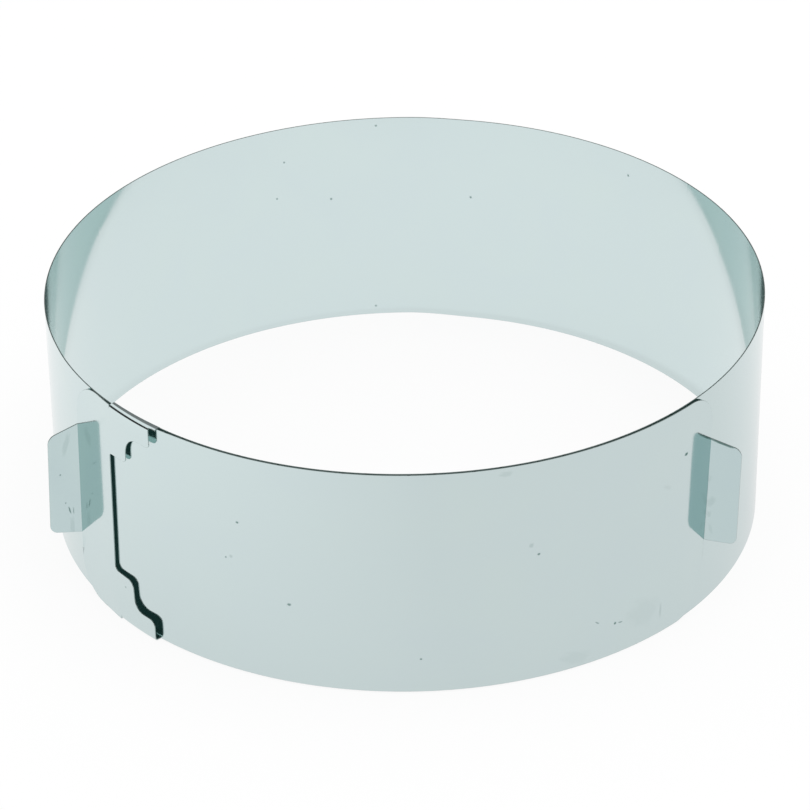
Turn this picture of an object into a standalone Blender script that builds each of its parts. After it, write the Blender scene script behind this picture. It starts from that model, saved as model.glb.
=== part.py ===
"""Adjustable cake ring, in metres, +Z up.

The real ring is one long strip of spring steel. Its left end lies outside, and carries a guide: a
window whose upper and lower arms fold over and under the strip. The strip runs from there inside,
once round the ring, steps out at the back, and runs on outside, through the guide, to its right
end. Each end is bent outwards as a handle, and pushing the handles apart or together along the ring
makes it larger or smaller.

A rigid solid can't flex, so the strip is cut into short stretches with an upright hinge line between
each two. All the hinges turn alike, and the ring changes its diameter as the real one does. The
stretches hang on each other in two chains, which start from the one that steps out at the back.

Azimuths are in degrees, from the front (-Y) towards the right (+X).
"""

import math

import bmesh
import bpy
from mathutils import Vector

# The strip, and the ring that it makes as photographed
RING_DIAMETER = 0.2484
STRIP_HEIGHT = 0.085
STRIP_THICKNESS = 0.0004

# Air between the two layers, and above the strip's rims
LAYER_GAP = 0.0005
RIM_CLEARANCE = 0.0004

# Air in front of the strip: behind the guide's plate at its end, behind the folds, and more of it
# towards the folds' right end, where they stand off further
PLATE_STANDOFF = 0.0006
FOLDS_STANDOFF = 0.001
FOLDS_FLARE = 0.001

# Air between two stretches of the strip, where a hinge line runs
HINGE_CUT = 0.0003

# Where the strip's features lie on the photographed ring
GUIDE_END_AZIMUTH = -62.0
FOLDS_START_AZIMUTH = -51.0
FOLDS_END_AZIMUTH = -41.0
STEP_START_AZIMUTH = 169.0
STEP_END_AZIMUTH = 179.0
STRIP_END_AZIMUTH = 414.0

# Stretches of the strip inside and outside, and flat facets along each stretch
INNER_STRETCHES = 21
OUTER_STRETCHES = 24
FACETS = 4

# Rounded corners of the strip's two ends
END_CORNER_RADIUS = 0.013
END_CORNER_SEGMENTS = 5

# Handles: tabs bent outwards
HANDLE_LENGTH = 0.0095
HANDLE_BEND_RADIUS = 0.0012
HANDLE_BEND_SEGMENTS = 4
HANDLE_BASE = 0.0218
HANDLE_HEIGHT = 0.0415
HANDLE_TAPER = 0.003
HANDLE_CORNER_RADIUS = 0.0025
HANDLE_CORNER_SEGMENTS = 3

# Guide folds: the leg behind the strip, and the rounding of the fold
FOLD_LEG_HEIGHT = 0.006
FOLD_ROUNDING = 0.0006
FOLD_ROUNDING_SEGMENTS = 2

# The window between the folds, as shares of the folds' width and of the strip's height
WINDOW_LOWER_SHARES = (
    (0.00, 0.306),
    (0.10, 0.301),
    (0.30, 0.280),
    (0.38, 0.262),
    (0.40, 0.238),
    (0.43, 0.171),
    (0.51, 0.143),
    (0.60, 0.122),
    (0.82, 0.101),
    (0.92, 0.086),
)
WINDOW_UPPER_SHARES = (
    (0.92, 0.929),
    (0.62, 0.918),
    (0.49, 0.895),
    (0.43, 0.870),
    (0.40, 0.815),
    (0.36, 0.797),
    (0.10, 0.775),
    (0.00, 0.768),
)

# How far a cutter runs past what it cuts
CUTTER_OVERRUN = 0.001

# Brushed stainless steel
STEEL_COLOUR = (0.62, 0.67, 0.66, 1.0)
STEEL_ROUGHNESS = 0.3

# Worked out: the middle of the sheet in each layer, counted from the ring's axis
OUTER_RADIUS = RING_DIAMETER / 2 - STRIP_THICKNESS / 2
INNER_RADIUS = OUTER_RADIUS - STRIP_THICKNESS - LAYER_GAP
PLATE_RADIUS = OUTER_RADIUS + STRIP_THICKNESS + PLATE_STANDOFF
FOLDS_RADIUS = OUTER_RADIUS + STRIP_THICKNESS + FOLDS_STANDOFF

# Worked out: the outer layer's rims, which run inside the guide's folds
OUTER_BASE = STRIP_THICKNESS + RIM_CLEARANCE
OUTER_TOP = STRIP_HEIGHT - OUTER_BASE

# Worked out: the ring's axis, a little right of the origin, which is the middle of the whole part
AXIS_X = (OUTER_RADIUS - INNER_RADIUS) / 2

# Worked out: how far round the folds reach, in degrees
FOLDS_SPAN = FOLDS_END_AZIMUTH - FOLDS_START_AZIMUTH


def point_at(azimuth, radius, height=0.0):
    """A point, counted from the foot of the ring's axis."""
    angle = math.radians(azimuth)
    return Vector((radius * math.sin(angle), -radius * math.cos(angle), height))


def plate_radius(azimuth):
    """The guide plate stands off further towards the folds."""
    share = (azimuth - GUIDE_END_AZIMUTH) / (FOLDS_START_AZIMUTH - GUIDE_END_AZIMUTH)
    return PLATE_RADIUS + (FOLDS_RADIUS - PLATE_RADIUS) * share


def folds_radius(azimuth):
    """The folds' front legs stand off further towards their right end."""
    return FOLDS_RADIUS + FOLDS_FLARE * (azimuth - FOLDS_START_AZIMUTH) / FOLDS_SPAN


def stepped_radius(azimuth):
    """The step starts level with the inner layer and ends level with the outer one."""
    share = (azimuth - STEP_START_AZIMUTH) / (STEP_END_AZIMUTH - STEP_START_AZIMUTH)
    return INNER_RADIUS + (OUTER_RADIUS - INNER_RADIUS) * share * share * (3 - 2 * share)


def half_cut(radius):
    """Half of the air between two stretches, in degrees at a radius."""
    return math.degrees(HINGE_CUT / 2 / radius)


def new_collection(name):
    """A collection of its own in the scene."""
    collection = bpy.data.collections.new(name)
    bpy.context.scene.collection.children.link(collection)
    return collection


def steel(name):
    """Brushed stainless steel for one piece."""
    material = bpy.data.materials.new(name + "_steel")
    material.use_nodes = True
    shader = material.node_tree.nodes["Principled BSDF"]
    shader.inputs["Base Color"].default_value = STEEL_COLOUR
    shader.inputs["Metallic"].default_value = 1.0
    shader.inputs["Roughness"].default_value = STEEL_ROUGHNESS
    return material


def add_pivot(name, point, parent=None):
    """An empty on an upright hinge line, which carries a stretch and the rest of its chain."""
    pivot = bpy.data.objects.new(name, None)
    pieces.objects.link(pivot)
    pivot["line"] = point
    pivot.location = point
    if parent:
        pivot.parent = parent
        pivot.location = point - Vector(parent["line"])
    return pivot


def add_piece(name, bm, pivot, turn=0.0):
    """A named piece, drawn about the ring's axis and carried by its pivot."""
    bmesh.ops.recalc_face_normals(bm, faces=bm.faces)
    mesh = bpy.data.meshes.new(name)
    bm.to_mesh(mesh)
    bm.free()
    mesh.shade_smooth()
    mesh.materials.append(steel(name))
    piece = bpy.data.objects.new(name, mesh)
    pieces.objects.link(piece)
    piece.parent = pivot
    piece.location = axis - Vector(pivot["line"])
    piece.rotation_euler.z = math.radians(turn)
    return piece


def thicken(piece, thickness):
    """Makes a sheet solid, with half of the thickness to each side."""
    solidify = piece.modifiers.new("thickness", "SOLIDIFY")
    solidify.thickness = thickness
    solidify.offset = 0.0
    solidify.use_even_offset = True


def wire(points):
    """A bmesh that holds only a line through some points."""
    bm = bmesh.new()
    verts = [bm.verts.new(point) for point in points]
    for near, far in zip(verts, verts[1:]):
        bm.edges.new((near, far))
    return bm


def add_turned_sheet(name, radius, base, top, start, end, pivot):
    """An upright sheet, turned about the ring's axis."""
    piece = add_piece(name, wire(((radius, 0, top), (radius, 0, base))), pivot, start - 90)
    screw = piece.modifiers.new("turn", "SCREW")
    screw.axis = "Z"
    screw.angle = math.radians(end - start)
    screw.steps = FACETS
    screw.render_steps = FACETS
    screw.use_normal_calculate = True
    thicken(piece, STRIP_THICKNESS)


def rolled_blank(outline, radius_at):
    """A flat blank, outlined in (azimuth, height), scored at each facet line and rolled up."""
    bm = bmesh.new()
    bm.faces.new([bm.verts.new((azimuth, 0, height)) for azimuth, height in outline])
    first = min(azimuth for azimuth, height in outline)
    last = max(azimuth for azimuth, height in outline)
    for facet in range(1, FACETS):
        bmesh.ops.bisect_plane(
            bm,
            geom=bm.verts[:] + bm.edges[:] + bm.faces[:],
            plane_co=(first + (last - first) * facet / FACETS, 0, 0),
            plane_no=(1, 0, 0),
        )
    for vert in bm.verts:
        vert.co = point_at(vert.co.x, radius_at(vert.co.x), vert.co.z)
    return bm


def rounded_end_outline(square, end, radius, base, top):
    """A blank with one square end and one end whose corners are rounded."""
    reach = math.copysign(math.degrees(END_CORNER_RADIUS / radius), square - end)
    outline = [(square, base)]
    for step in range(END_CORNER_SEGMENTS + 1):
        angle = math.radians(90 * step / END_CORNER_SEGMENTS)
        along = end + reach * (1 - math.sin(angle))
        outline.append((along, base + END_CORNER_RADIUS * (1 - math.cos(angle))))
    for azimuth, height in reversed(outline[1:]):
        outline.append((azimuth, top + base - height))
    outline.append((square, top))
    return outline


def add_handle(name, end, side, radius, pivot):
    """A tab that bends outwards from an end of the strip. Side is 1 for an end on the right."""
    start = point_at(end, radius) + point_at(end + 90 * side, HINGE_CUT)
    outward = point_at(end, 1.0)
    onward = point_at(end + 90 * side, 1.0)
    path = []
    for step in range(HANDLE_BEND_SEGMENTS + 1):
        angle = math.radians(90 * step / HANDLE_BEND_SEGMENTS)
        along = onward * HANDLE_BEND_RADIUS * math.sin(angle)
        path.append((start + along + outward * HANDLE_BEND_RADIUS * (1 - math.cos(angle)), 0))
    path.append((path[-1][0] + outward * HANDLE_LENGTH, HANDLE_TAPER))
    bm = wire([point + Vector((0, 0, HANDLE_BASE + taper)) for point, taper in path])
    made = bmesh.ops.extrude_edge_only(bm, edges=bm.edges[:])["geom"]
    upper = [item for item in made if isinstance(item, bmesh.types.BMVert)]
    for vert in upper:
        vert.co.z += HANDLE_HEIGHT - 2 * (vert.co.z - HANDLE_BASE)
    tips = sorted(bm.verts, key=lambda vert: (vert.co - start).to_2d().length)[-2:]
    bmesh.ops.bevel(
        bm,
        geom=tips,
        offset=HANDLE_CORNER_RADIUS,
        segments=HANDLE_CORNER_SEGMENTS,
        profile=0.5,
        affect="VERTICES",
    )
    thicken(add_piece(name, bm, pivot), STRIP_THICKNESS)


def add_fold(name, rim, inward, window, pivot):
    """A fold of the guide, which runs over one rim of the strip and is cut by the window."""
    start = FOLDS_START_AZIMUTH + half_cut(FOLDS_RADIUS)
    end = FOLDS_END_AZIMUTH - half_cut(FOLDS_RADIUS)
    crest = rim + inward * STRIP_THICKNESS / 2
    bm = wire(
        (
            point_at(start, FOLDS_RADIUS, rim + inward * STRIP_HEIGHT / 2),
            point_at(start, FOLDS_RADIUS, crest),
            point_at(start, INNER_RADIUS, crest),
            point_at(start, INNER_RADIUS, rim + inward * FOLD_LEG_HEIGHT),
        )
    )
    bm.verts.ensure_lookup_table()
    bmesh.ops.bevel(
        bm,
        geom=bm.verts[1:3],
        offset=FOLD_ROUNDING,
        segments=FOLD_ROUNDING_SEGMENTS,
        profile=0.5,
        affect="VERTICES",
    )
    bmesh.ops.spin(
        bm,
        geom=bm.verts[:] + bm.edges[:],
        axis=(0, 0, 1),
        angle=math.radians(end - start),
        steps=FACETS,
    )
    for vert in bm.verts:
        radius = vert.co.to_2d().length
        azimuth = math.degrees(math.atan2(vert.co.x, -vert.co.y))
        share = (radius - INNER_RADIUS) / (FOLDS_RADIUS - INNER_RADIUS)
        flared = radius + (folds_radius(azimuth) - FOLDS_RADIUS) * share
        vert.co.xy = vert.co.xy * flared / radius
    fold = add_piece(name, bm, pivot)
    thicken(fold, STRIP_THICKNESS)
    cut = fold.modifiers.new("window", "BOOLEAN")
    cut.operation = "DIFFERENCE"
    cut.solver = "EXACT"
    cut.object = window


def add_window(pivot):
    """The cutter for the window between the folds. It reaches only the legs in front of the strip."""
    overrun = math.degrees(CUTTER_OVERRUN / FOLDS_RADIUS)
    lower = [(FOLDS_START_AZIMUTH + along * FOLDS_SPAN, up) for along, up in WINDOW_LOWER_SHARES]
    upper = [(FOLDS_START_AZIMUTH + along * FOLDS_SPAN, up) for along, up in WINDOW_UPPER_SHARES]
    left = FOLDS_START_AZIMUTH - overrun
    right = FOLDS_END_AZIMUTH + overrun
    lower = [(left, lower[0][1])] + lower + [(right, lower[-1][1])]
    upper = [(right, upper[0][1])] + upper + [(left, upper[-1][1])]
    outline = [(azimuth, up * STRIP_HEIGHT) for azimuth, up in lower + upper]
    window = add_piece("window_cutter", rolled_blank(outline, folds_radius), pivot)
    thicken(window, 2 * FOLDS_STANDOFF)
    pieces.objects.unlink(window)
    cutters.objects.link(window)
    window.hide_render = True
    window.display_type = "WIRE"
    return window


for leftover in list(bpy.data.objects):
    bpy.data.objects.remove(leftover, do_unlink=True)

pieces = new_collection("cake_ring")
cutters = new_collection("cutters")
axis = Vector((AXIS_X, 0, 0))

# The stretch that steps out at the back, which carries both chains
back = add_pivot("back", axis)
start = STEP_START_AZIMUTH + half_cut(INNER_RADIUS)
end = STEP_END_AZIMUTH - half_cut(OUTER_RADIUS)
outline = [(start, 0), (end, OUTER_BASE), (end, OUTER_TOP), (start, STRIP_HEIGHT)]
thicken(add_piece("step", rolled_blank(outline, stepped_radius), back), STRIP_THICKNESS)

# The inner layer, from the step round the right side to the folds
inner_span = (STEP_START_AZIMUTH - FOLDS_END_AZIMUTH) / INNER_STRETCHES
cut = half_cut(INNER_RADIUS)
pivot = back
for number in range(INNER_STRETCHES, 0, -1):
    end = FOLDS_END_AZIMUTH + inner_span * number
    start = end - inner_span
    name = "inner_{:02d}".format(number)
    pivot = add_pivot("pivot_" + name, axis + point_at(end, INNER_RADIUS), pivot)
    add_turned_sheet(name, INNER_RADIUS, 0, STRIP_HEIGHT, start + cut, end - cut, pivot)

# The folds over and under the outer layer
pivot = add_pivot("pivot_folds", axis + point_at(FOLDS_END_AZIMUTH, INNER_RADIUS), pivot)
window = add_window(pivot)
add_fold("top_guide_fold", STRIP_HEIGHT, -1, window, pivot)
add_fold("bottom_guide_fold", 0, 1, window, pivot)

# The left end of the strip, in front of the outer layer, with its handle
pivot = add_pivot("pivot_guide", axis + point_at(FOLDS_START_AZIMUTH, FOLDS_RADIUS), pivot)
edge = FOLDS_START_AZIMUTH - half_cut(FOLDS_RADIUS)
outline = rounded_end_outline(edge, GUIDE_END_AZIMUTH, PLATE_RADIUS, 0, STRIP_HEIGHT)
thicken(add_piece("guide_plate", rolled_blank(outline, plate_radius), pivot), STRIP_THICKNESS)
add_handle("left_handle", GUIDE_END_AZIMUTH, -1, PLATE_RADIUS, pivot)

# The outer layer, from the step round the left side and through the folds to the right
outer_span = (STRIP_END_AZIMUTH - STEP_END_AZIMUTH) / OUTER_STRETCHES
cut = half_cut(OUTER_RADIUS)
pivot = back
for number in range(1, OUTER_STRETCHES):
    start = STEP_END_AZIMUTH + outer_span * (number - 1)
    end = start + outer_span
    name = "outer_{:02d}".format(number)
    pivot = add_pivot("pivot_" + name, axis + point_at(start, OUTER_RADIUS), pivot)
    add_turned_sheet(name, OUTER_RADIUS, OUTER_BASE, OUTER_TOP, start + cut, end - cut, pivot)

# The right end of the strip, with its handle
name = "outer_{:02d}".format(OUTER_STRETCHES)
pivot = add_pivot("pivot_" + name, axis + point_at(end, OUTER_RADIUS), pivot)
outline = rounded_end_outline(end + cut, STRIP_END_AZIMUTH, OUTER_RADIUS, OUTER_BASE, OUTER_TOP)
thicken(add_piece(name, rolled_blank(outline, lambda azimuth: OUTER_RADIUS), pivot), STRIP_THICKNESS)
add_handle("right_handle", STRIP_END_AZIMUTH, 1, OUTER_RADIUS, pivot)
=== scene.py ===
import math

import bmesh
import bpy
from mathutils import Matrix, Vector


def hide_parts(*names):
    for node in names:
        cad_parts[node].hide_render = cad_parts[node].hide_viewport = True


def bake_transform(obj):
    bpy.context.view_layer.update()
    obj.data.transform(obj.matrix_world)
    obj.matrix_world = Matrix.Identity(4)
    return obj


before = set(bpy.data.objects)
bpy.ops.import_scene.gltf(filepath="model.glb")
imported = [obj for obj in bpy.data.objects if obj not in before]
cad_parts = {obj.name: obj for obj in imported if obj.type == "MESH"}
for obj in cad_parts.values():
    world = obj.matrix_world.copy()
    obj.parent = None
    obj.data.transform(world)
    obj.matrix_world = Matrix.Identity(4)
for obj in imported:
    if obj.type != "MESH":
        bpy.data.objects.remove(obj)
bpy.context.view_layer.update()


# The inner layer: the part of the strip that runs behind the outer one and round the ring.
# Spring steel sheet, 0.4 mm thick, rolled to a bright finish and cut to 85 mm with softened edges.
# It is drawn as lengths that meet in the middle of each stretch.

SHEET_THICKNESS = 0.0004
STRIP_HEIGHT = 0.085
EDGE_SOFTENING = 0.00006
EDGE_STEPS = 2

# The radius at which the strip is rolled out flat, and those of the middle of each layer's sheet
FLAT_RADIUS = 0.124
INNER_RADIUS = 0.1233
OUTER_RADIUS = 0.124
RING_AXIS = Vector((0.00045, 0, 0))

# Azimuths along the strip, in degrees from the front towards the right: the middle of the folds,
# where the inner layer starts, the step to the outer layer at the back, and the end in front
FOLDS_MIDDLE = -46.0
INNER_START = -41.0
STEP_START = 169.0
STEP_END = 179.0
STRIP_END = 414.0

# A stretch of the strip turns at one hinge and is rolled in flat facets, both given in degrees
INNER_STRETCHES = 21
INNER_STRETCH = 10.0
FACET = 0.5

# The upper rim lies a little low, and lower still where the strip passes through the guide.
# The lower rim rises a little in the outer layer.
UPPER_RIM_DROP = 0.00045
LOWER_RIM_RISE = 0.0005
PASSAGE_DROP = 0.00035
GUIDE_PASSAGE = 306.0
PASSAGE_REACH = 18.0
PASSAGE_CORE = 12.0

# Towards its end the strip springs off the ring, and beside the handle it isn't rolled
SPRING_START = 375.0
END_SPRING = 0.0004
FLAT_BY_HANDLE = 6.0

BRIGHT_STEEL_COLOUR = (0.648, 0.752, 0.743, 1.0)
BLUISH_STEEL_COLOUR = (0.642, 0.742, 0.757, 1.0)
# Painted shade: the steel seen in the steel is multiplied by this colour, darker and greener
SECOND_REFLECTION_PAINTED_SHADE = (0.84, 0.91, 0.89, 1.0)
# Painted glow: the dark green that stands in for the light deep in the gaps between the layers
DEEP_GAP_PAINTED_GLOW = (0.065, 0.098, 0.094, 1.0)
MARK_COLOUR = (0.16, 0.27, 0.25, 1.0)
# The rims' sheared edges are duller than the sheet, and their colours are also much darker than the
# side edges': painted shade for the dim room above them
RIM_EDGE_PAINTED_SHADE_COLOUR = (0.12, 0.17, 0.16, 1.0)
RIM_WORN_PAINTED_SHADE_COLOUR = (0.24, 0.30, 0.29, 1.0)
SIDE_EDGE_COLOUR = (0.44, 0.53, 0.52, 1.0)
SIDE_WORN_COLOUR = (0.56, 0.64, 0.63, 1.0)

# The finish: how fine its patterns are along the strip, how high they stand, and how rough the
# sheet is where it is plain and where it is wiped
ROLLING_LINES_SCALE = (90, 5200, 1)
WAVES_SCALE = 16.0
PATCHES_SCALE = 34.0
WAVE_HEIGHT = 0.00012
ROLLING_LINE_HEIGHT = 0.0000004
SHEARING_LINE_HEIGHT = 0.000004
SHEET_ROUGHNESS = (0.07, 0.12)
PATCH_RANGE = (0.3, 0.75)
MARK_ROUGHNESS = 0.3
MARK_UNEVENNESS_SCALE = 2.2
MARK_EDGE = (1.4, 0.9)
CUT_EDGE_ROUGHNESS = 0.4
# After this many reflections the steel shows the painted glow instead
PAINTED_GLOW_AFTER_REFLECTIONS = 3.5

# Each face of the strip has its own place on the map: the inside lies this far beyond the outside
FACE_SHIFT = 2.0

# Specks, scratches and smears of handling, on the outside of the strip and on its inside:
# azimuth along the strip, height, half length, half height, turn, and how dark the mark is
OUTER_MARKS = (
    (333.6, 0.0593, 0.0008, 0.0006, 0, 0.8),
    (331.4, 0.0443, 0.0005, 0.0005, 0, 0.7),
    (332.3, 0.0452, 0.0010, 0.0009, 0, 0.2),
    (341.7, 0.0312, 0.0010, 0.0007, 0, 0.8),
    (361.7, 0.0131, 0.0006, 0.0005, 0, 0.8),
    (374.6, 0.0826, 0.0032, 0.0014, 0, 0.12),
    (379.8, 0.0493, 0.0008, 0.0006, 0, 0.8),
    (378.6, 0.0533, 0.0012, 0.0012, 0, 0.2),
    (407.3, 0.0665, 0.0012, 0.0008, 0, 1.0),
    (403.2, 0.0575, 0.0034, 0.0011, 35, 0.06),
    (389.9, 0.0152, 0.0014, 0.0004, 40, 0.5),
    (393.2, 0.0124, 0.0007, 0.0007, 0, 0.9),
    (394.2, 0.0120, 0.0013, 0.0004, 10, 0.6),
    (398.8, 0.0120, 0.0100, 0.0070, 20, 0.05),
    (386.2, 0.0040, 0.0080, 0.0034, 15, 0.06),
    (402.4, 0.0090, 0.0008, 0.0040, 0, 0.15),
    (-49.3, 0.0143, 0.0006, 0.0005, 0, 0.5),
)
INSIDE_MARKS = (
    (192.9, 0.0522, 0.0007, 0.0007, 0, 0.7),
    (202.7, 0.0560, 0.0006, 0.0006, 0, 0.6),
    (201.2, 0.0709, 0.0006, 0.0006, 0, 0.6),
    (168.3, 0.0525, 0.0007, 0.0007, 0, 0.7),
    (138.1, 0.0765, 0.0007, 0.0007, 0, 0.7),
    (184.8, 0.0819, 0.0007, 0.0006, 0, 0.6),
    (185.3, 0.0035, 0.0007, 0.0006, 0, 0.6),
)


def outward(azimuth):
    """Away from the ring's axis, at an azimuth."""
    angle = math.radians(azimuth)
    return Vector((math.sin(angle), -math.cos(angle), 0))


def onward(azimuth):
    """Along the ring, at an azimuth."""
    angle = math.radians(azimuth)
    return Vector((math.cos(angle), math.sin(angle), 0))


def round_the_ring(azimuth, radius, height=0.0):
    """A point, counted from the foot of the ring's axis."""
    return RING_AXIS + outward(azimuth) * radius + Vector((0, 0, height))


def along_strip(azimuth):
    """Where an azimuth lies along the strip when it is rolled out flat."""
    return math.radians(azimuth) * FLAT_RADIUS


def share_of(value, start, end):
    """How far a value is on its way from a start to an end, from 0 to 1."""
    return min(max((value - start) / (end - start), 0.0), 1.0)


def eased(share):
    """A share that starts and ends slowly."""
    return share * share * (3 - 2 * share)


def feed(links, value, socket):
    """Links an output to a socket, or sets the socket to a plain value."""
    if isinstance(value, bpy.types.NodeSocket):
        links.new(value, socket)
    else:
        socket.default_value = value


def add_math(nodes, links, operation, *values):
    """A sum, a product or the like of numbers and outputs."""
    node = nodes.new("ShaderNodeMath")
    node.operation = operation
    for value, socket in zip(values, node.inputs):
        feed(links, value, socket)
    return node.outputs["Value"]


def add_range(nodes, links, value, start, end, low=0.0, high=1.0, interpolation="LINEAR"):
    """A value that goes from low to high while another one goes from a start to an end."""
    node = nodes.new("ShaderNodeMapRange")
    node.interpolation_type = interpolation
    links.new(value, node.inputs["Value"])
    node.inputs["From Min"].default_value = start
    node.inputs["From Max"].default_value = end
    node.inputs["To Min"].default_value = low
    node.inputs["To Max"].default_value = high
    return node.outputs["Result"]


def add_mix(nodes, links, share, first, second):
    """A number between two others."""
    node = nodes.new("ShaderNodeMix")
    feed(links, share, node.inputs[0])
    feed(links, first, node.inputs[2])
    feed(links, second, node.inputs[3])
    return node.outputs[0]


def add_colour_mix(nodes, links, share, first, second, blend="MIX"):
    """A colour between two others, or the first one tinted with the second one."""
    node = nodes.new("ShaderNodeMix")
    node.data_type = "RGBA"
    node.blend_type = blend
    feed(links, share, node.inputs[0])
    feed(links, first, node.inputs[6])
    feed(links, second, node.inputs[7])
    return node.outputs[2]


def add_noise(nodes, links, place, scale, detail, roughness=0.5, distortion=0.0):
    """Noise at a place on the strip's map."""
    node = nodes.new("ShaderNodeTexNoise")
    node.inputs["Scale"].default_value = scale
    node.inputs["Detail"].default_value = detail
    node.inputs["Roughness"].default_value = roughness
    node.inputs["Distortion"].default_value = distortion
    links.new(place, node.inputs["Vector"])
    return node.outputs["Fac"]


def start_group(name, inputs, outputs):
    """A node group with its named sockets, and the place on the strip's map."""
    group = bpy.data.node_groups.new(name, "ShaderNodeTree")
    for socket, kind in inputs:
        group.interface.new_socket(socket, in_out="INPUT", socket_type=kind)
    for socket in outputs:
        group.interface.new_socket(socket, in_out="OUTPUT", socket_type="NodeSocketFloat")
    place = group.nodes.new("ShaderNodeUVMap")
    place.uv_map = "strip"
    given = group.nodes.new("NodeGroupInput")
    result = group.nodes.new("NodeGroupOutput")
    return group, place.outputs["UV"], given.outputs, result.inputs


def add_surface_group():
    """The rolled surface: fine lines along the strip, slow waves in the sheet, and wiped patches."""
    group, place, given, result = start_group(
        "rolled_surface",
        (("Waves", "NodeSocketFloat"), ("Lines", "NodeSocketFloat")),
        ("Height", "Patches"),
    )
    nodes, links = group.nodes, group.links
    stretched = nodes.new("ShaderNodeMapping")
    stretched.inputs["Scale"].default_value = ROLLING_LINES_SCALE
    links.new(place, stretched.inputs["Vector"])
    lines = add_noise(nodes, links, stretched.outputs["Vector"], scale=1.0, detail=3.0)
    waves = add_noise(nodes, links, place, WAVES_SCALE, detail=1.0, roughness=0.35)
    patches = add_noise(nodes, links, place, PATCHES_SCALE, detail=4.0, distortion=0.6)
    wave_height = add_math(nodes, links, "MULTIPLY", waves, given["Waves"])
    height = add_math(nodes, links, "MULTIPLY_ADD", lines, given["Lines"], wave_height)
    links.new(height, result["Height"])
    links.new(patches, result["Patches"])
    return group


def add_mark_group():
    """One mark on the sheet: an uneven spot with a place, a size and a turn on the strip's map."""
    group, place, given, result = start_group(
        "handling_mark_and_painted_reflection",
        (
            ("Middle", "NodeSocketVector"),
            ("Half Size", "NodeSocketVector"),
            ("Turn", "NodeSocketFloat"),
            ("Darkness", "NodeSocketFloat"),
        ),
        ("Mask",),
    )
    nodes, links = group.nodes, group.links
    turned = nodes.new("ShaderNodeVectorRotate")
    turned.rotation_type = "Z_AXIS"
    links.new(place, turned.inputs["Vector"])
    links.new(given["Middle"], turned.inputs["Center"])
    links.new(given["Turn"], turned.inputs["Angle"])
    apart = nodes.new("ShaderNodeVectorMath")
    apart.operation = "SUBTRACT"
    links.new(turned.outputs["Vector"], apart.inputs[0])
    links.new(given["Middle"], apart.inputs[1])
    scaled = nodes.new("ShaderNodeVectorMath")
    scaled.operation = "DIVIDE"
    links.new(apart.outputs["Vector"], scaled.inputs[0])
    links.new(given["Half Size"], scaled.inputs[1])
    reach = nodes.new("ShaderNodeVectorMath")
    reach.operation = "LENGTH"
    links.new(scaled.outputs["Vector"], reach.inputs[0])

    uneven = add_noise(
        nodes, links, scaled.outputs["Vector"], MARK_UNEVENNESS_SCALE, detail=2.0
    )
    uneven_reach = add_math(nodes, links, "ADD", reach.outputs["Value"], uneven)
    spot = add_range(nodes, links, uneven_reach, *MARK_EDGE, interpolation="SMOOTHSTEP")
    links.new(add_math(nodes, links, "MULTIPLY", spot, given["Darkness"]), result["Mask"])
    return group


surface_group = add_surface_group()
mark_group = add_mark_group()


def add_marks(nodes, links, marks):
    """The marks of a material, joined in one mask."""
    joined = None
    for along, height, half_length, half_height, turn, darkness in marks:
        mark = nodes.new("ShaderNodeGroup")
        mark.node_tree = mark_group
        mark.inputs["Middle"].default_value = (along, height, 0)
        mark.inputs["Half Size"].default_value = (half_length, half_height, 1)
        mark.inputs["Turn"].default_value = math.radians(turn)
        mark.inputs["Darkness"].default_value = darkness
        mask = mark.outputs["Mask"]
        joined = mask if joined is None else add_math(nodes, links, "MAXIMUM", joined, mask)
    return joined


def start_steel(name, wave_height, line_height):
    """A metallic material with the rolled surface, which raises its bumps. Also gives its patches."""
    material = bpy.data.materials.new(name)
    material.use_nodes = True
    nodes, links = material.node_tree.nodes, material.node_tree.links
    shader = nodes["Principled BSDF"]
    shader.inputs["Metallic"].default_value = 1.0
    rolled = nodes.new("ShaderNodeGroup")
    rolled.node_tree = surface_group
    rolled.inputs["Waves"].default_value = wave_height
    rolled.inputs["Lines"].default_value = line_height
    bump = nodes.new("ShaderNodeBump")
    bump.inputs["Distance"].default_value = 1.0
    links.new(rolled.outputs["Height"], bump.inputs["Height"])
    links.new(bump.outputs["Normal"], shader.inputs["Normal"])
    return material, shader, rolled.outputs["Patches"]


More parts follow.
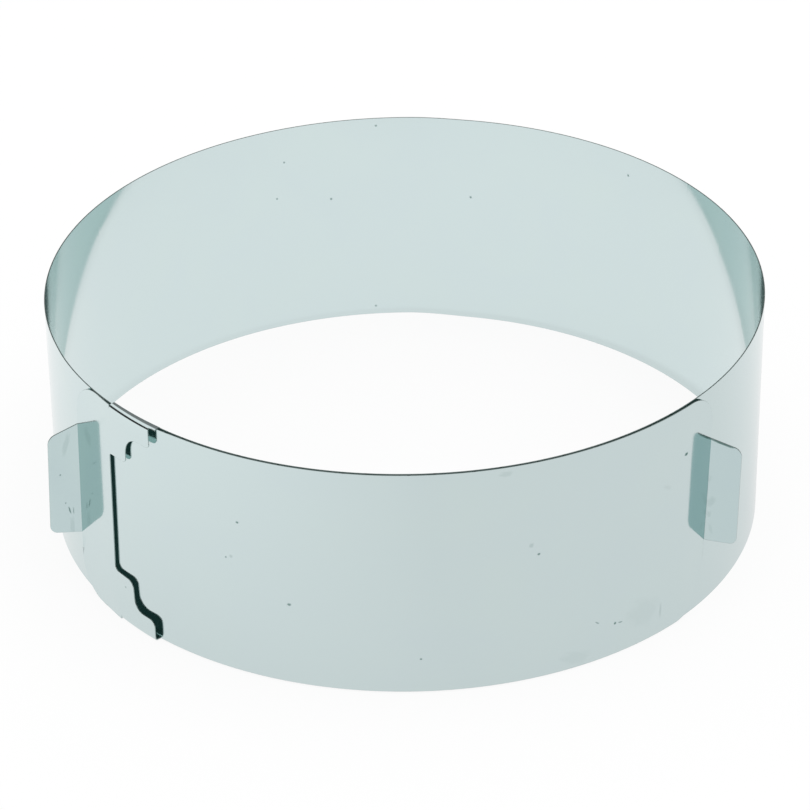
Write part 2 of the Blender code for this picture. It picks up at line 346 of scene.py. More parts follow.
def make_bright_steel(name, plain_colour, patch_colour, roughness, marks, second_reflection_painted_shade):
    """Bright rolled spring steel, which mirrors what stands near it."""
    material, shader, patches = start_steel(name, WAVE_HEIGHT, ROLLING_LINE_HEIGHT)
    nodes, links = material.node_tree.nodes, material.node_tree.links
    mask = add_marks(nodes, links, marks)
    colour = add_colour_mix(nodes, links, patches, plain_colour, patch_colour)
    marked = add_colour_mix(nodes, links, mask, colour, MARK_COLOUR)

    # Painted shade in the reflections: the steel seen in the steel is made darker and greener
    rays = nodes.new("ShaderNodeLightPath")
    in_steel = rays.outputs["Is Glossy Ray"]
    reflection_painted_shade = add_colour_mix(nodes, links, in_steel, marked, second_reflection_painted_shade, "MULTIPLY")
    links.new(reflection_painted_shade, shader.inputs["Base Color"])

    wiped = add_range(nodes, links, patches, *PATCH_RANGE, *roughness)
    rougher = add_math(nodes, links, "MULTIPLY_ADD", mask, MARK_ROUGHNESS, wiped)
    links.new(rougher, shader.inputs["Roughness"])

    # Painted glow: deep in the gaps between the layers, what is left of the light is drawn as a dark
    # green emission
    deep = add_math(
        nodes, links, "GREATER_THAN", rays.outputs["Glossy Depth"], PAINTED_GLOW_AFTER_REFLECTIONS
    )
    painted_gap_glow = nodes.new("ShaderNodeEmission")
    painted_gap_glow.inputs["Color"].default_value = DEEP_GAP_PAINTED_GLOW
    either = nodes.new("ShaderNodeMixShader")
    links.new(deep, either.inputs[0])
    links.new(shader.outputs["BSDF"], either.inputs[1])
    links.new(painted_gap_glow.outputs["Emission"], either.inputs[2])
    links.new(either.outputs["Shader"], nodes["Material Output"].inputs["Surface"])
    return material


def make_cut_edge_steel(name, plain_colour, worn_colour):
    """The sheared edges of the sheet, duller and darker than its faces."""
    material, shader, patches = start_steel(name, 0.0, SHEARING_LINE_HEIGHT)
    nodes, links = material.node_tree.nodes, material.node_tree.links
    colour = add_colour_mix(nodes, links, patches, plain_colour, worn_colour)
    links.new(colour, shader.inputs["Base Color"])
    shader.inputs["Roughness"].default_value = CUT_EDGE_ROUGHNESS
    return material


strip_marks = [(along_strip(mark[0]),) + mark[1:] for mark in OUTER_MARKS]
strip_marks += [(along_strip(mark[0]) + FACE_SHIFT,) + mark[1:] for mark in INSIDE_MARKS]
bright_steel = make_bright_steel(
    "bright_spring_steel",
    BRIGHT_STEEL_COLOUR,
    BLUISH_STEEL_COLOUR,
    SHEET_ROUGHNESS,
    strip_marks,
    SECOND_REFLECTION_PAINTED_SHADE,
)
# The rim edges use a darker copy of the cut edge colours: painted shade
rim_edge_steel_painted_shade = make_cut_edge_steel("sheared_rim_edge_painted_shade", RIM_EDGE_PAINTED_SHADE_COLOUR, RIM_WORN_PAINTED_SHADE_COLOUR)
side_edge_steel = make_cut_edge_steel("sheared_side_edge", SIDE_EDGE_COLOUR, SIDE_WORN_COLOUR)


# The material slots of each piece, and what tells sheet, rims and seams apart in a flat blank
SHEET = 0
RIM_EDGE = 1
SIDE_EDGE = 2
HANDLE_SHEET = 3
FACING = 0.99
SEAM_TOLERANCE = 0.000001
RIGHT_ANGLE_TOLERANCE = 0.1


def unrolled(corners):
    """Corners given by azimuth and height, in metres along the strip and in height."""
    return [(along_strip(corner[0]), corner[1]) for corner in corners]


def flat_blank(points):
    """A flat piece of sheet before it is bent, outlined in metres along the strip and in height."""
    bm = bmesh.new()
    bm.faces.new([bm.verts.new((along, 0, height)) for along, height in points])
    return bm


def cut_through(bm, place, direction, throw_away=False):
    """Cuts a blank along a line, as a mark for a bend or to throw away what lies beyond it."""
    bmesh.ops.bisect_plane(
        bm,
        geom=bm.verts[:] + bm.edges[:] + bm.faces[:],
        plane_co=place,
        plane_no=direction,
        clear_outer=throw_away,
    )


def score_upright(bm, places, slope=0.0):
    """Marks upright lines across a blank, where it is going to be rolled or bent."""
    for place in places:
        cut_through(bm, (place, 0, STRIP_HEIGHT / 2), (1, 0, -slope))


def facet_lines(start, end):
    """The lines between the facets of a length of the strip."""
    count = round((end - start) / FACET)
    return [along_strip(start + (end - start) * line / count) for line in range(1, count)]


def give_thickness(bm, seams):
    """Thickens a blank, softens its cut edges and maps both faces. Seams are where lengths meet."""
    bmesh.ops.translate(bm, verts=bm.verts[:], vec=(0, -SHEET_THICKNESS / 2, 0))
    made = bmesh.ops.extrude_face_region(bm, geom=bm.faces[:])["geom"]
    lifted = [item for item in made if isinstance(item, bmesh.types.BMVert)]
    bmesh.ops.translate(bm, verts=lifted, vec=(0, SHEET_THICKNESS, 0))
    bmesh.ops.recalc_face_normals(bm, faces=bm.faces[:])
    places = [along_strip(seam) for seam in seams]

    def is_sheet(face):
        """Whether it is a face of the sheet, not one of its cut edges."""
        return abs(face.normal.y) > FACING

    def on_seam(edge):
        """Whether an edge lies where the next length of the strip goes on."""
        return any(
            all(abs(vert.co.x - place) < SEAM_TOLERANCE for vert in edge.verts) for place in places
        )

    rims = [
        edge
        for edge in bm.edges
        if abs(edge.calc_face_angle(0.0) - math.pi / 2) < RIGHT_ANGLE_TOLERANCE
        and not on_seam(edge)
        and any(is_sheet(face) for face in edge.link_faces)
    ]
    bmesh.ops.bevel(
        bm,
        geom=rims,
        offset=EDGE_SOFTENING,
        segments=EDGE_STEPS,
        profile=0.5,
        affect="EDGES",
        material=-1,
    )
    bm.normal_update()
    place_on_strip = bm.loops.layers.uv.new("strip")
    for face in bm.faces:
        face.smooth = True
        is_upright = abs(face.normal.x) > abs(face.normal.z)
        if is_sheet(face):
            face.material_index = SHEET
        else:
            face.material_index = SIDE_EDGE if is_upright else RIM_EDGE
        shift = FACE_SHIFT if face.normal.y < -FACING else 0.0
        for loop in face.loops:
            loop[place_on_strip].uv = (loop.vert.co.x + shift, loop.vert.co.z)
    for edge in bm.edges:
        if len({face.material_index == SHEET for face in edge.link_faces}) == 2:
            edge.smooth = False


def make_piece(name, bm, *more_materials):
    """A finished piece of the strip from a bent blank."""
    bmesh.ops.recalc_face_normals(bm, faces=bm.faces[:])
    mesh = bpy.data.meshes.new(name)
    bm.to_mesh(mesh)
    bm.free()
    for material in (bright_steel, rim_edge_steel_painted_shade, side_edge_steel) + more_materials:
        mesh.materials.append(material)
    piece = bpy.data.objects.new(name, mesh)
    bpy.context.scene.collection.objects.link(piece)
    return piece


def flat_by_handle(beyond):
    """The sheet isn't rolled beside a handle. It lies flat there, as a short side of the ring."""
    half = FLAT_BY_HANDLE / 2
    turned = min(max(beyond + half, -half), half)
    return math.cos(math.radians(half)) / math.cos(math.radians(turned))


def strip_radius(azimuth):
    """The middle of the sheet: inner layer, step, or outer layer."""
    step = (OUTER_RADIUS - INNER_RADIUS) * eased(share_of(azimuth, STEP_START, STEP_END))
    spring = share_of(azimuth, SPRING_START, STRIP_END)
    radius = INNER_RADIUS + step + END_SPRING * spring * spring
    return radius * flat_by_handle(azimuth - STRIP_END)


def between_rims(azimuth, height):
    """A height on the blank, set between the strip's rims."""
    lower = LOWER_RIM_RISE * share_of(azimuth, STEP_START, STEP_END)
    in_guide = share_of(abs(azimuth - GUIDE_PASSAGE), PASSAGE_REACH, PASSAGE_CORE)
    drop = UPPER_RIM_DROP + PASSAGE_DROP * eased(in_guide)
    return lower + height * (STRIP_HEIGHT - drop - lower) / STRIP_HEIGHT


def roll_up(bm):
    """Rolls a plain length of the strip round the ring."""
    for vert in bm.verts:
        azimuth = math.degrees(vert.co.x / FLAT_RADIUS)
        height = between_rims(azimuth, vert.co.z)
        vert.co = round_the_ring(azimuth, strip_radius(azimuth) + vert.co.y, height)


def plain_length(name, start, end):
    """A plain length of the strip between two azimuths."""
    corners = ((start, 0), (end, 0), (end, STRIP_HEIGHT), (start, STRIP_HEIGHT))
    bm = flat_blank(unrolled(corners))
    score_upright(bm, facet_lines(start, end))
    give_thickness(bm, (start, end))
    roll_up(bm)
    return make_piece(name, bm)


def add_length(name, start, end, node):
    """A plain length of the strip, from the middle of one stretch to the middle of the next."""
    piece = plain_length(name, start, end)
    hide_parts(node)
    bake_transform(piece)


for number in range(1, INNER_STRETCHES + 1):
    middle = INNER_START + INNER_STRETCH * (number - 0.5)
    near = "inner_{:02d}".format(number)
    add_length("inner_strip_{:02d}".format(number), middle, middle + INNER_STRETCH, near)


# The outer layer: it starts at the step in the back and comes round the left side to the front.
# The same sheet as the inner layer, a little narrower so that it runs inside the guide's folds.
# Its last length has rounded corners, and the right handle bent outwards from its end.

OUTER_STRETCHES = 24
OUTER_STRETCH = (STRIP_END - STEP_END) / OUTER_STRETCHES
END_CORNER_RADIUS = 0.013
END_CORNER_STEPS = 12
HANDLE_CORNER_RADIUS = 0.0025
HANDLE_CORNER_STEPS = 8
HANDLE_BEND_RADIUS = 0.0003
HANDLE_BEND_STEPS = 6
CORNER_TOLERANCE = 0.00001

# The right handle: where it starts, in degrees along the strip, how much its bend leans, in degrees
# per metre of height, how far it is bent, and its corners at the bend and at its free edge.
# A tip's corner is its height, and its reach beyond where a full quarter bend would end.
RIGHT_END = 413.15
RIGHT_LEAN = 26.0
RIGHT_TURN = 70.0
RIGHT_HANDLE_FOOT = (0.0263, 0.0657)
RIGHT_HANDLE_TIP = ((0.0262, 0.0109), (0.0626, 0.0104))
RIGHT_FACETS_STOP = 1.5

# The handles are cut from the same sheet; their colours are painted a little darker than the strip's,
# as painted shade for the dimmer surroundings they face. Their roughness is their own.
HANDLE_PAINTED_SHADE_COLOUR = (0.585, 0.712, 0.700, 1.0)
HANDLE_PATCH_PAINTED_SHADE_COLOUR = (0.575, 0.695, 0.718, 1.0)
HANDLE_ROUGHNESS = (0.09, 0.2)
# Painted shade in the right handle's reflections in the steel
RIGHT_SECOND_REFLECTION_PAINTED_SHADE = (0.66, 0.79, 0.78, 1.0)

# The handle's own marks: distance from its bend, height, half length, half height, turn, darkness
RIGHT_HANDLE_MARKS = (
    # The first mark is a painted reflection: a dark band along the handle's upper edge. The others
    # are scuffs near the bend.
    (0.0054, 0.0643, 0.0072, 0.0007, 16.0, 0.95),
    (0.0006, 0.0560, 0.0006, 0.0030, 0, 0.10),
    (0.0012, 0.0500, 0.0010, 0.0022, 20, 0.08),
    (0.0018, 0.0415, 0.0018, 0.0030, 25, 0.12),
    (0.0010, 0.0365, 0.0012, 0.0016, 0, 0.12),
    (0.0016, 0.0310, 0.0010, 0.0026, -15, 0.08),
)

step_middle = (STEP_START + STEP_END) / 2
first_middle = STEP_END + OUTER_STRETCH / 2
add_length("strip_step", step_middle, first_middle, "step")
for number in range(1, OUTER_STRETCHES - 1):
    middle = STEP_END + OUTER_STRETCH * (number - 0.5)
    near = "outer_{:02d}".format(number)
    add_length("outer_strip_{:02d}".format(number), middle, middle + OUTER_STRETCH, near)


def round_corners(bm, corners, radius, steps):
    """Rounds some corners of a blank, given in metres along the strip and in height."""
    chosen = [
        vert
        for vert in bm.verts
        if any(
            abs(vert.co.x - along) + abs(vert.co.z - height) < CORNER_TOLERANCE
            for along, height in corners
        )
    ]
    bmesh.ops.bevel(
        bm,
        geom=chosen,
        offset=radius,
        segments=steps,
        profile=0.5,
        affect="VERTICES",
        material=-1,
    )


def end_at(end, lean, height):
    """The azimuth of an end of the strip, which leans a little."""
    return end + lean * (height - STRIP_HEIGHT / 2)


def end_line(end, lean, height):
    """Where a leaning end lies along the flat strip."""
    return along_strip(end_at(end, lean, height))


def end_outline(end, lean, side, foot, tip):
    """The outline of an end with its handle, from the lower rim to the upper one."""
    bend = HANDLE_BEND_RADIUS * math.pi / 2
    corners = [(0, 0), (foot[0], 0)]
    corners += [(height, side * (bend + reach)) for height, reach in tip]
    corners += [(foot[1], 0), (STRIP_HEIGHT, 0)]
    return [(end_line(end, lean, height) + out, height) for height, out in corners]


def round_end(bm, outline):
    """Rounds the sheet's two corners at an end, and the two of its handle's tip."""
    round_corners(bm, (outline[0], outline[-1]), END_CORNER_RADIUS, END_CORNER_STEPS)
    round_corners(bm, outline[2:4], HANDLE_CORNER_RADIUS, HANDLE_CORNER_STEPS)


def score_level(bm, heights):
    """Marks level lines along a blank, where it is going to be folded."""
    for height in heights:
        cut_through(bm, (0, 0, height), (0, 0, 1))


def score_bend(bm, end, lean, side, turn):
    """Marks the lines across a handle where it is bent."""
    arc = HANDLE_BEND_RADIUS * math.radians(turn)
    lines = range(HANDLE_BEND_STEPS + 1)
    places = [along_strip(end) + side * arc * line / HANDLE_BEND_STEPS for line in lines]
    score_upright(bm, places, along_strip(lean))


def bend_handle(end, side, radius, turn, beyond, offset, height):
    """A point of a handle, beyond an end of the strip: round its bend and then straight on."""
    angle = min(beyond / HANDLE_BEND_RADIUS, math.radians(turn))
    straight = beyond - HANDLE_BEND_RADIUS * angle
    out, on = outward(end), onward(end) * side
    ahead = on * math.cos(angle) + out * math.sin(angle)
    facing = out * math.cos(angle) - on * math.sin(angle)
    centre = round_the_ring(end, radius + HANDLE_BEND_RADIUS, height)
    return centre - facing * (HANDLE_BEND_RADIUS - offset) + ahead * straight


def mark_handle(bm, end, lean, side):
    """Gives the sheet faces beyond an end of the strip the handles' material, whose darker colours
    are painted shade.
    """
    for face in bm.faces:
        middle = face.calc_center_median()
        beyond = (middle.x - end_line(end, lean, middle.z)) * side
        if beyond > 0 and face.material_index == SHEET:
            face.material_index = HANDLE_SHEET


# The handles' steel: its darker colours are painted shade
right_handle_steel_painted_shade = make_bright_steel(
    "right_handle_steel_painted_shade",
    HANDLE_PAINTED_SHADE_COLOUR,
    HANDLE_PATCH_PAINTED_SHADE_COLOUR,
    HANDLE_ROUGHNESS,
    [(along_strip(RIGHT_END) + mark[0],) + mark[1:] for mark in RIGHT_HANDLE_MARKS],
    RIGHT_SECOND_REFLECTION_PAINTED_SHADE,
)

end_start = STEP_END + OUTER_STRETCH * (OUTER_STRETCHES - 1.5)
right_outline = end_outline(RIGHT_END, RIGHT_LEAN, 1, RIGHT_HANDLE_FOOT, RIGHT_HANDLE_TIP)
blank = flat_blank(
    unrolled([(end_start, 0)]) + right_outline + unrolled([(end_start, STRIP_HEIGHT)])
)
round_end(blank, right_outline)
score_level(blank, RIGHT_HANDLE_FOOT)
last_facet = RIGHT_END - RIGHT_FACETS_STOP
score_upright(blank, facet_lines(end_start, last_facet) + [along_strip(last_facet)])
score_bend(blank, RIGHT_END, RIGHT_LEAN, 1, RIGHT_TURN)
give_thickness(blank, (end_start,))
mark_handle(blank, RIGHT_END, RIGHT_LEAN, 1)
for vert in blank.verts:
    end = end_at(RIGHT_END, RIGHT_LEAN, vert.co.z)
    beyond = vert.co.x - along_strip(end)
    height = between_rims(STRIP_END, vert.co.z)
    if beyond > 0:
        vert.co = bend_handle(end, 1, strip_radius(end), RIGHT_TURN, beyond, vert.co.y, height)
    else:
        azimuth = math.degrees(vert.co.x / FLAT_RADIUS)
        vert.co = round_the_ring(azimuth, strip_radius(azimuth) + vert.co.y, height)
right_end = make_piece("right_end_with_handle", blank, right_handle_steel_painted_shade)
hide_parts("outer_23", "outer_24", "right_handle")
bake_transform(right_end)


# The guide: the left end of the strip, a plate with rounded corners that lies in front.
# Behind a stepped cut its upper and lower arms fold over and under the outer layer, to the inside.
# Cut from the same sheet, folded over the two rims, and bent outwards at its end as the left handle.

# Azimuths of the plate, which is flat at its left end, and of the folds. A fine notch at each rim
# parts the folds from the plate.
PLATE_START = -62.0
PLATE_FLAT = -55.7
FOLDS_START = -51.0
FOLDS_LEFT = -50.7
FOLDS_RIGHT = -40.4
NOTCH_LEFT = -50.72
NOTCH_DEPTH = 0.0014
NOTCH_TOLERANCE = 0.001

# How the front sheet stands off: more towards the folds' right end, and more near the rims
PLATE_RADIUS = 0.1248
FOLDS_RADIUS = 0.12512
FOLDS_FLARE = 0.0007
FOLDS_BULGE = 0.0004
BULGE_LEFT = -54.0
BULGE_START = 0.030
BULGE_END = 0.039
BULGE_STEPS = 6

# The folds, from the front sheet over the rim, along a level shelf and down inside
OUTER_FOLD_RADIUS = 0.0011
OUTER_FOLD_STEPS = 8
SHELF_FLAT = 0.0016
INNER_FOLD_RADIUS = 0.0004
INNER_FOLD_STEPS = 6
LEG_DEPTH = 0.006
ARM_TURN_SHARE = 0.6

# The left handle, described as the right one is
LEFT_END = -61.3
LEFT_LEAN = 17.0
LEFT_TURN = 83.0
LEFT_HANDLE_FOOT = (0.0222, 0.0663)
LEFT_HANDLE_TIP = ((0.0245, 0.0109), (0.0628, 0.0104))
LEFT_FACETS_STOP = 1.0
# Painted shade in the left handle's reflections in the steel
LEFT_SECOND_REFLECTION_PAINTED_SHADE = (0.74, 0.825, 0.805, 1.0)
LEFT_HANDLE_MARKS = (
    (0.0069, 0.0472, 0.0005, 0.0006, 0, 0.5),
    (0.0059, 0.0354, 0.0004, 0.0005, 0, 0.5),
    (0.0047, 0.0322, 0.0004, 0.0020, -12, 0.8),
    (0.0034, 0.0317, 0.0003, 0.0019, 0, 0.5),
    (0.0042, 0.0255, 0.0012, 0.0050, 0, 0.12),
    (0.0040, 0.0590, 0.0014, 0.0060, 15, 0.14),
)

# The corners of the stepped cut as (azimuth, height, rounding), from the arms' right ends leftwards
# along the lower arm and back along the upper one
LOWER_CUT = (
    (-42.4, 0.0078, 0.0026),
    (-47.1, 0.0080, 0.0042),
    (-47.4, 0.0185, 0.0026),
    (-52.0, 0.0186, 0.0019),
)
UPPER_CUT = (
    (-51.6, 0.0651, 0.0011),
    (-47.4, 0.0656, 0.0017),
    (-47.4, 0.0768, 0.0074),
    (-41.6, 0.0768, 0.0017),
)
CUT_CORNER_STEPS = 8

# Worked out: the height of the folds, and how far up the flat blank each part of a fold ends
FOLD_CREST = STRIP_HEIGHT - SHEET_THICKNESS / 2
FOLD_START = FOLD_CREST - OUTER_FOLD_RADIUS
OUTER_ARC = OUTER_FOLD_RADIUS * math.pi / 2
INNER_ARC = INNER_FOLD_RADIUS * math.pi / 2
SHELF_END = FOLD_START + OUTER_ARC + SHELF_FLAT
LEG_START = SHELF_END + INNER_ARC
LEG_END = LEG_START + LEG_DEPTH
ARM_END = FOLD_START + OUTER_ARC * ARM_TURN_SHARE


def front_radius(azimuth, height):
    """The middle of the guide's front sheet, which stands off further towards its folds."""
    if azimuth < FOLDS_START:
        share = (max(azimuth, PLATE_FLAT) - PLATE_START) / (FOLDS_START - PLATE_START)
        radius = PLATE_RADIUS + (FOLDS_RADIUS - PLATE_RADIUS) * share
        radius /= math.cos(math.radians(max(PLATE_FLAT - azimuth, 0.0)))
    else:
        share = (azimuth - FOLDS_START) / (INNER_START - FOLDS_START)
        radius = FOLDS_RADIUS + FOLDS_FLARE * share
    rise = share_of(abs(height - STRIP_HEIGHT / 2), BULGE_START, BULGE_END)
    return radius + FOLDS_BULGE * eased(rise) * share_of(azimuth, BULGE_LEFT, FOLDS_START)


def fold_over(azimuth, offset, height):
    """A point of the front sheet or of a fold that goes over the upper rim and down inside."""
    front = front_radius(azimuth, min(height, FOLD_START))
    travel = height - FOLD_START
    if travel <= 0:
        return front + offset, height
    if travel <= OUTER_ARC:
        angle = travel / OUTER_FOLD_RADIUS
        reach = OUTER_FOLD_RADIUS + offset
        radius = front - OUTER_FOLD_RADIUS + reach * math.cos(angle)
        return radius, FOLD_START + reach * math.sin(angle)
    travel -= OUTER_ARC
    if travel <= SHELF_FLAT:
        shelf = front - INNER_RADIUS - OUTER_FOLD_RADIUS - INNER_FOLD_RADIUS
        return front - OUTER_FOLD_RADIUS - shelf * travel / SHELF_FLAT, FOLD_CREST + offset
    travel -= SHELF_FLAT
    if travel <= INNER_ARC:
        angle = travel / INNER_FOLD_RADIUS
        reach = INNER_FOLD_RADIUS + offset
        radius = INNER_RADIUS + INNER_FOLD_RADIUS - reach * math.sin(angle)
        return radius, FOLD_CREST - INNER_FOLD_RADIUS + reach * math.cos(angle)
    travel -= INNER_ARC
    return INNER_RADIUS - offset, FOLD_CREST - INNER_FOLD_RADIUS - travel


def fold_guide(bm):
    """Folds a flat blank of the guide over both rims, rolls it up and bends its handle."""
    for vert in bm.verts:
        along, offset, height = vert.co
        azimuth = math.degrees(along / FLAT_RADIUS)
        end = end_at(LEFT_END, LEFT_LEAN, height)
        lower_half = height < STRIP_HEIGHT / 2
        if lower_half:
            height = STRIP_HEIGHT - height
        if azimuth > NOTCH_LEFT + NOTCH_TOLERANCE:
            radius, height = fold_over(azimuth, offset, height)
        else:
            radius = front_radius(max(azimuth, end), height) + offset
        if lower_half:
            height = STRIP_HEIGHT - height
        beyond = along_strip(end) - along
        if beyond > 0:
            end_radius = front_radius(end, height)
            vert.co = bend_handle(end, -1, end_radius, LEFT_TURN, beyond, offset, height)
        else:
            vert.co = round_the_ring(azimuth, radius, height)


def steps_from(start, length, count):
    """Heights that part a length into equal steps, with its two ends."""
    return [start + length * line / count for line in range(count + 1)]


def score_folds(bm):
    """Marks the level lines of both folds, and of the bulge before them."""
    bulge_length = BULGE_END - BULGE_START
    upper = steps_from(STRIP_HEIGHT / 2 + BULGE_START, bulge_length, BULGE_STEPS)
    upper += steps_from(FOLD_START, OUTER_ARC, OUTER_FOLD_STEPS)
    upper += steps_from(SHELF_END, INNER_ARC, INNER_FOLD_STEPS)
    score_level(bm, upper + [STRIP_HEIGHT - height for height in upper])


left_handle_steel_painted_shade = make_bright_steel(
    "left_handle_steel_painted_shade",
    HANDLE_PAINTED_SHADE_COLOUR,
    HANDLE_PATCH_PAINTED_SHADE_COLOUR,
    HANDLE_ROUGHNESS,
    [(along_strip(LEFT_END) - mark[0],) + mark[1:] for mark in LEFT_HANDLE_MARKS],
    LEFT_SECOND_REFLECTION_PAINTED_SHADE,
)

# The whole guide as one flat blank. Its outline starts at the notch of the lower fold, and at the
# right the front of each arm ends a little before the fold does.
lower_fold = [
    (NOTCH_LEFT, 0),
    (NOTCH_LEFT, NOTCH_DEPTH),
    (FOLDS_LEFT, NOTCH_DEPTH),
    (FOLDS_LEFT, STRIP_HEIGHT - LEG_END),
    (FOLDS_RIGHT, STRIP_HEIGHT - LEG_END),
]
lower_arm_end = [
    (FOLDS_RIGHT, STRIP_HEIGHT - LEG_START),
    (LOWER_CUT[0][0], STRIP_HEIGHT - SHELF_END),
]
upper_arm_end = [(UPPER_CUT[-1][0], ARM_END), (FOLDS_RIGHT, ARM_END)]
upper_fold = [(azimuth, STRIP_HEIGHT - height) for azimuth, height in reversed(lower_fold)]
left_outline = end_outline(LEFT_END, LEFT_LEAN, -1, LEFT_HANDLE_FOOT, LEFT_HANDLE_TIP)
guide_blank = flat_blank(
    unrolled(lower_fold + lower_arm_end)
    + unrolled(LOWER_CUT + UPPER_CUT)
    + unrolled(upper_arm_end + upper_fold)
    + left_outline[::-1]
)
round_end(guide_blank, left_outline)
for azimuth, height, rounding in LOWER_CUT + UPPER_CUT:
    corner = (along_strip(azimuth), height)
    round_corners(guide_blank, (corner,), rounding, CUT_CORNER_STEPS)

# The plate, with the left half of the two arms
blank = guide_blank.copy()
cut_through(blank, (along_strip(FOLDS_MIDDLE), 0, 0), (1, 0, 0), throw_away=True)
score_level(blank, LEFT_HANDLE_FOOT)
first_facet = LEFT_END + LEFT_FACETS_STOP
score_upright(blank, [along_strip(first_facet)] + facet_lines(first_facet, FOLDS_MIDDLE))
score_bend(blank, LEFT_END, LEFT_LEAN, -1, LEFT_TURN)
score_folds(blank)
give_thickness(blank, (FOLDS_MIDDLE,))
mark_handle(blank, LEFT_END, LEFT_LEAN, -1)
fold_guide(blank)
guide = make_piece("guide_plate_with_handle", blank, left_handle_steel_painted_shade)
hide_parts("guide_plate", "left_handle")
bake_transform(guide)

# The right half of the two arms, with their folds, up to where they join the inner layer
arms_middle = INNER_START + INNER_STRETCH / 2
for name, towards_other, node in (
    ("upper_guide_arm", (0, 0, -1), "top_guide_fold"),
    ("lower_guide_arm", (0, 0, 1), "bottom_guide_fold"),
):
    blank = guide_blank.copy()
    cut_through(blank, (along_strip(FOLDS_MIDDLE), 0, 0), (-1, 0, 0), throw_away=True)
    cut_through(blank, (0, 0, STRIP_HEIGHT / 2), towards_other, throw_away=True)
    score_upright(blank, facet_lines(FOLDS_MIDDLE, INNER_START))
    score_folds(blank)
    give_thickness(blank, (FOLDS_MIDDLE, FOLDS_RIGHT))
    fold_guide(blank)
    arm = make_piece(name, blank)
    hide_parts(node)
    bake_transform(arm)
guide_blank.free()

# The first length of the inner layer, which both arms run into
junction = plain_length("inner_strip_at_guide", FOLDS_RIGHT, arms_middle)
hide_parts("inner_01")
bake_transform(junction)


# The studio: a wide pale floor, an even white surround, and a large soft lamp overhead.
# Where it is seen directly, the floor is white apart from the ring's shadow; in the steel it also
# carries painted shade and light.

FLOOR_REACH = 3.0
PAPER_COLOUR = (0.9, 0.9, 0.9, 1.0)
PAPER_ROUGHNESS = 0.9
WHITE = (1.0, 1.0, 1.0, 1.0)
GLOW_SHARE = 0.9

# Painted shade on the paper as the steel mirrors it: darker in front of the ring, towards the right:
# how bright it is there, and between which places that changes
FRONT_PAPER_PAINTED_SHADE = 0.84
LEFT_TO_RIGHT = (-0.26, 0.02)
FRONT_TO_BACK = (-0.02, 0.20)

# Painted light on the paper as the steel mirrors it: inside the ring it is evener, the more so
# further back: the share in front, where it changes, and how soft the edge is
INSIDE_EVENNESS = 0.65
INSIDE_FRONT_TO_BACK = (-0.12, -0.02)
INSIDE_EDGE = 0.005

# In the steel the paper's glow fades a good way in front of the ring to a painted dark, which stands
# in for the dark room there
PAPER_PAINTED_DARK_START = 0.65
PAPER_PAINTED_DARK_FADE = 0.1
FRONT_ROOM = 0.04

# Above the horizon the steel mirrors a dark room, a little lighter behind, and soft light overhead
DIM_ROOM = 0.22
ROOM_BEHIND = (0.2, 0.6)
OVERHEAD_LIGHT = (0.56, 0.62)

LAMP_SIZE = 1.2
LAMP_POWER = 6.0
LAMP_PLACE = (0.3, -0.2, 1.6)

bm = bmesh.new()
bmesh.ops.create_grid(bm, x_segments=1, y_segments=1, size=FLOOR_REACH)
mesh = bpy.data.meshes.new("studio_floor")
bm.to_mesh(mesh)
bm.free()
floor = bpy.data.objects.new("studio_floor", mesh)
bpy.context.scene.collection.objects.link(floor)

paper = bpy.data.materials.new("pale_paper")
paper.use_nodes = True
nodes, links = paper.node_tree.nodes, paper.node_tree.links
shader = nodes["Principled BSDF"]
shader.inputs["Base Color"].default_value = PAPER_COLOUR
shader.inputs["Roughness"].default_value = PAPER_ROUGHNESS
shader.inputs["Specular IOR Level"].default_value = 0.0
white = nodes.new("ShaderNodeEmission")
white.inputs["Color"].default_value = WHITE
rays = nodes.new("ShaderNodeLightPath")
seen_directly = rays.outputs["Is Camera Ray"]
seen_in_steel = rays.outputs["Is Glossy Ray"]

place = nodes.new("ShaderNodeTexCoord").outputs["Object"]
axes = nodes.new("ShaderNodeSeparateXYZ")
links.new(place, axes.inputs["Vector"])
distance = nodes.new("ShaderNodeVectorMath")
distance.operation = "LENGTH"
links.new(place, distance.inputs[0])
across, back = axes.outputs["X"], axes.outputs["Y"]
# Painted shade and light on the paper, seen only in the steel: darker in front towards the right,
# evener inside the ring
leftward = add_range(nodes, links, across, *LEFT_TO_RIGHT, 1.0, FRONT_PAPER_PAINTED_SHADE)
backward = add_range(nodes, links, back, *FRONT_TO_BACK)
from_edge = INNER_RADIUS, INNER_RADIUS - INSIDE_EDGE
inside = add_range(nodes, links, distance.outputs["Value"], *from_edge)
further_back = add_range(nodes, links, back, *INSIDE_FRONT_TO_BACK, INSIDE_EVENNESS)
within = add_math(nodes, links, "MULTIPLY", inside, further_back)
even = add_math(nodes, links, "MAXIMUM", backward, within)
paper_painted_shade_in_steel = add_mix(nodes, links, even, leftward, 1.0)
# Painted dark: in the steel the paper's glow fades far in front, standing in for the dark room
painted_dark_fade = add_range(nodes, links, back, -PAPER_PAINTED_DARK_START - PAPER_PAINTED_DARK_FADE, -PAPER_PAINTED_DARK_START, FRONT_ROOM)
reflected = add_math(nodes, links, "MULTIPLY", paper_painted_shade_in_steel, painted_dark_fade)
brightness = add_mix(nodes, links, seen_directly, reflected, 1.0)
links.new(brightness, white.inputs["Strength"])

seen = add_math(nodes, links, "MAXIMUM", seen_directly, seen_in_steel)
glow = add_math(nodes, links, "MULTIPLY", seen, GLOW_SHARE)
mix = nodes.new("ShaderNodeMixShader")
links.new(glow, mix.inputs[0])
links.new(shader.outputs["BSDF"], mix.inputs[1])
links.new(white.outputs["Emission"], mix.inputs[2])
links.new(mix.outputs["Shader"], nodes["Material Output"].inputs["Surface"])
mesh.materials.append(paper)

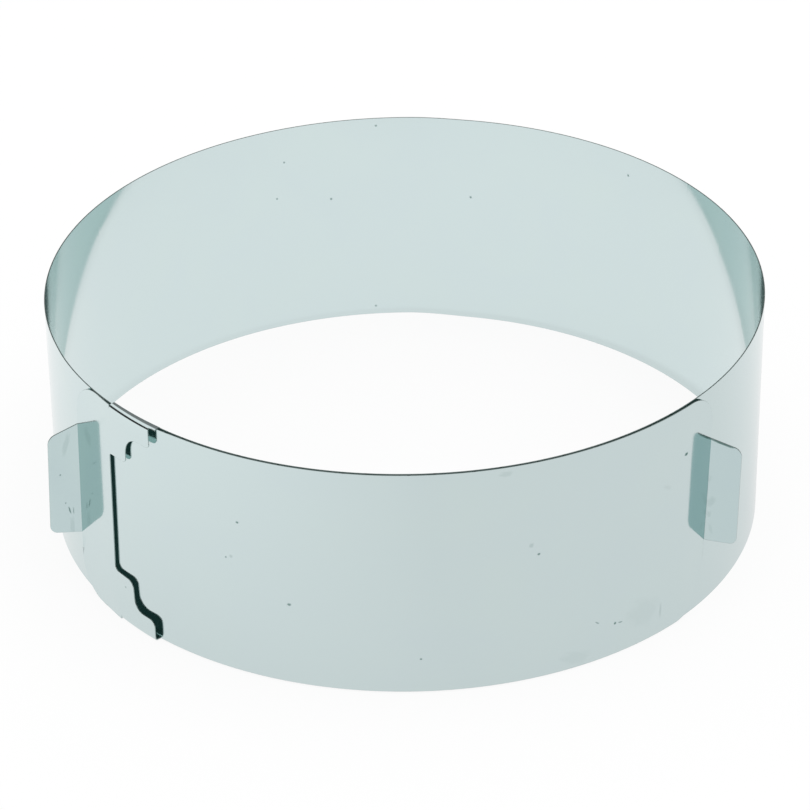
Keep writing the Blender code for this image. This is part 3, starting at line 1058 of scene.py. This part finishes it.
world = bpy.data.worlds.new("studio")
bpy.context.scene.world = world
world.use_nodes = True
nodes, links = world.node_tree.nodes, world.node_tree.links
place = nodes.new("ShaderNodeTexCoord").outputs["Generated"]
axes = nodes.new("ShaderNodeSeparateXYZ")
links.new(place, axes.inputs["Vector"])
behind = add_range(nodes, links, axes.outputs["Y"], *ROOM_BEHIND, FRONT_ROOM, DIM_ROOM)
overhead = add_range(nodes, links, axes.outputs["Z"], *OVERHEAD_LIGHT)
room = add_mix(nodes, links, overhead, behind, 1.0)
seen_in_steel = nodes.new("ShaderNodeLightPath").outputs["Is Glossy Ray"]
strength = add_mix(nodes, links, seen_in_steel, 1.0, room)
links.new(strength, nodes["Background"].inputs["Strength"])
nodes["Background"].inputs["Color"].default_value = WHITE

lamp_data = bpy.data.lights.new("overhead_softbox", "AREA")
lamp_data.shape = "SQUARE"
lamp_data.size = LAMP_SIZE
lamp_data.energy = LAMP_POWER
lamp = bpy.data.objects.new("overhead_softbox", lamp_data)
lamp.location = LAMP_PLACE
lamp.rotation_euler = (-lamp.location).to_track_quat("-Z", "Y").to_euler()
lamp.visible_glossy = False
bpy.context.scene.collection.objects.link(lamp)


# The camera, from the front and above, with a long lens.
# The photograph is turned very slightly, and so is this picture.

SENSOR_WIDTH = 36.0
LENS = 164.3
CAMERA_PLACE = Vector((0.00045, -1.1085, 0.7146))
CAMERA_AIM = Vector((-0.0002, 0.0, 0.0346))
CAMERA_ROLL = -0.688

camera_data = bpy.data.cameras.new("camera")
camera_data.sensor_width = SENSOR_WIDTH
camera_data.lens = LENS
camera = bpy.data.objects.new("camera", camera_data)
bpy.context.scene.collection.objects.link(camera)
towards_ring = (CAMERA_AIM - CAMERA_PLACE).to_track_quat("-Z", "Y").to_matrix().to_4x4()
roll = Matrix.Rotation(math.radians(CAMERA_ROLL), 4, "Z")
camera.matrix_world = Matrix.Translation(CAMERA_PLACE) @ towards_ring @ roll
bpy.context.scene.camera = camera
bpy.context.scene.view_settings.view_transform = "Standard"
